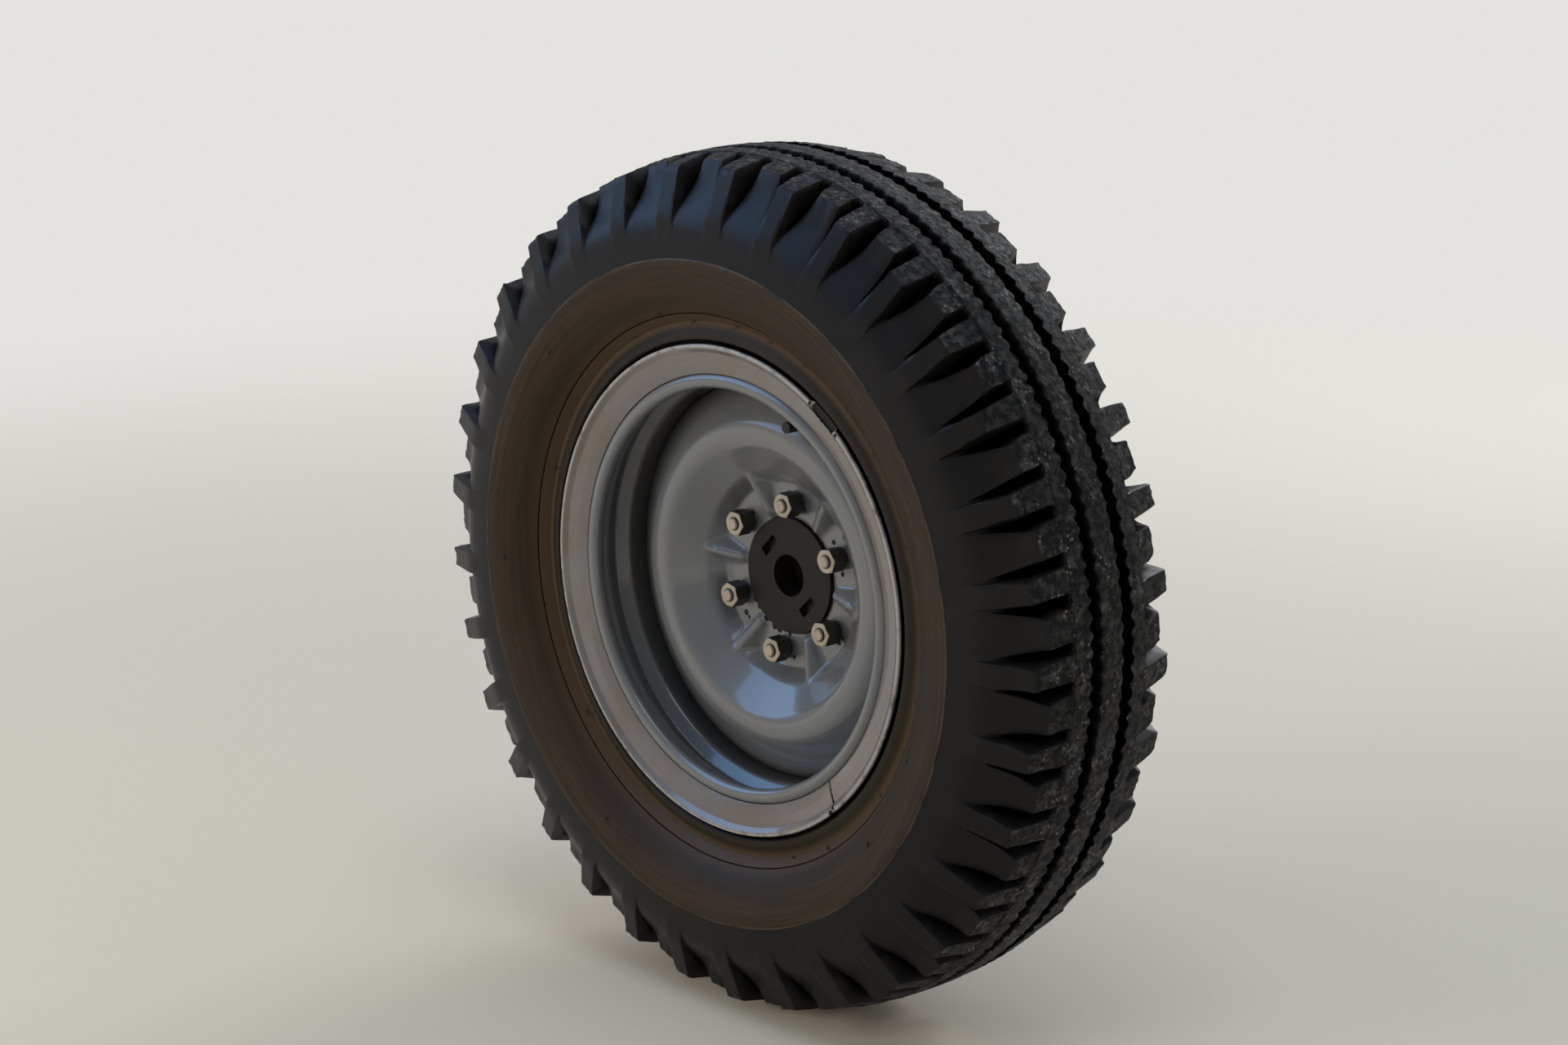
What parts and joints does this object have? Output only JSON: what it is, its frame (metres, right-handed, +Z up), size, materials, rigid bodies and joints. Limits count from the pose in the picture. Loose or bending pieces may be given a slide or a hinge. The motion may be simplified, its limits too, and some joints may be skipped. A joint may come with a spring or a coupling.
{
  "type": "rear wheel station of a light military vehicle",
  "caption": "Treaded bias-ply tyre on a pressed split-ring wheel, bolted over a brake drum and turning on the end of a tubular rear axle.",
  "frame": {"origin": "on the wheel's axis, at the inboard end of the axle tube", "axes": "+X forward on the vehicle, +Y inboard along the axle, +Z up; this is a right-hand rear wheel"},
  "size_m": [0.7879, 0.505, 0.788],
  "materials": {
    "tyre_rubber": "dusty black rubber, brown dust on the side wall",
    "wheel_paint": "pale grey gloss paint",
    "ring_paint": "worn pale grey paint, rust at the split",
    "nut_steel": "bare steel, dulled",
    "drum_iron": "dark cast iron",
    "boss_paint": "dark brown black paint, chipped",
    "axle_paint": "black chassis paint, dusty",
    "bearing_steel": "ground steel",
    "pipe_steel": "dull plated steel",
    "brass": "dull brass",
    "valve_rubber": "black rubber"
  },
  "bodies": {
    "axle": {"axle_housing": "axle_paint", "backing_plate": "axle_paint", "bearing_retainer": "axle_paint", "bleed_screw": "brass", "brake_adjuster_1": "axle_paint", "brake_adjuster_2": "axle_paint", "brake_pipe": "pipe_steel", "flange_bolt_1": "axle_paint", "flange_bolt_2": "axle_paint", "flange_bolt_3": "axle_paint", "flange_bolt_4": "axle_paint", "hub_bearing": "bearing_steel", "pipe_clip_1": "pipe_steel", "pipe_clip_2": "pipe_steel", "pipe_union": "brass", "spring_seat": "axle_paint", "wheel_cylinder": "axle_paint"},
    "wheel": {"axle_shaft": "boss_paint", "brake_drum": "drum_iron", "side_ring": "ring_paint", "tyre": "tyre_rubber", "valve_stem": "valve_rubber", "wheel_disc": "wheel_paint", "wheel_nut_1": "nut_steel", "wheel_nut_2": "nut_steel", "wheel_nut_3": "nut_steel", "wheel_nut_4": "nut_steel", "wheel_nut_5": "nut_steel", "wheel_nut_6": "nut_steel", "wheel_rim": "wheel_paint", "wheel_stud_1": "nut_steel", "wheel_stud_2": "nut_steel", "wheel_stud_3": "nut_steel", "wheel_stud_4": "nut_steel", "wheel_stud_5": "nut_steel", "wheel_stud_6": "nut_steel"}
  },
  "joints": [
    {"name": "wheel_spin", "type": "hinge", "parent": "axle", "child": "wheel", "pos_m": [0, -0.4, 0], "axis": [0, 1, 0], "continuous": true}
  ]
}
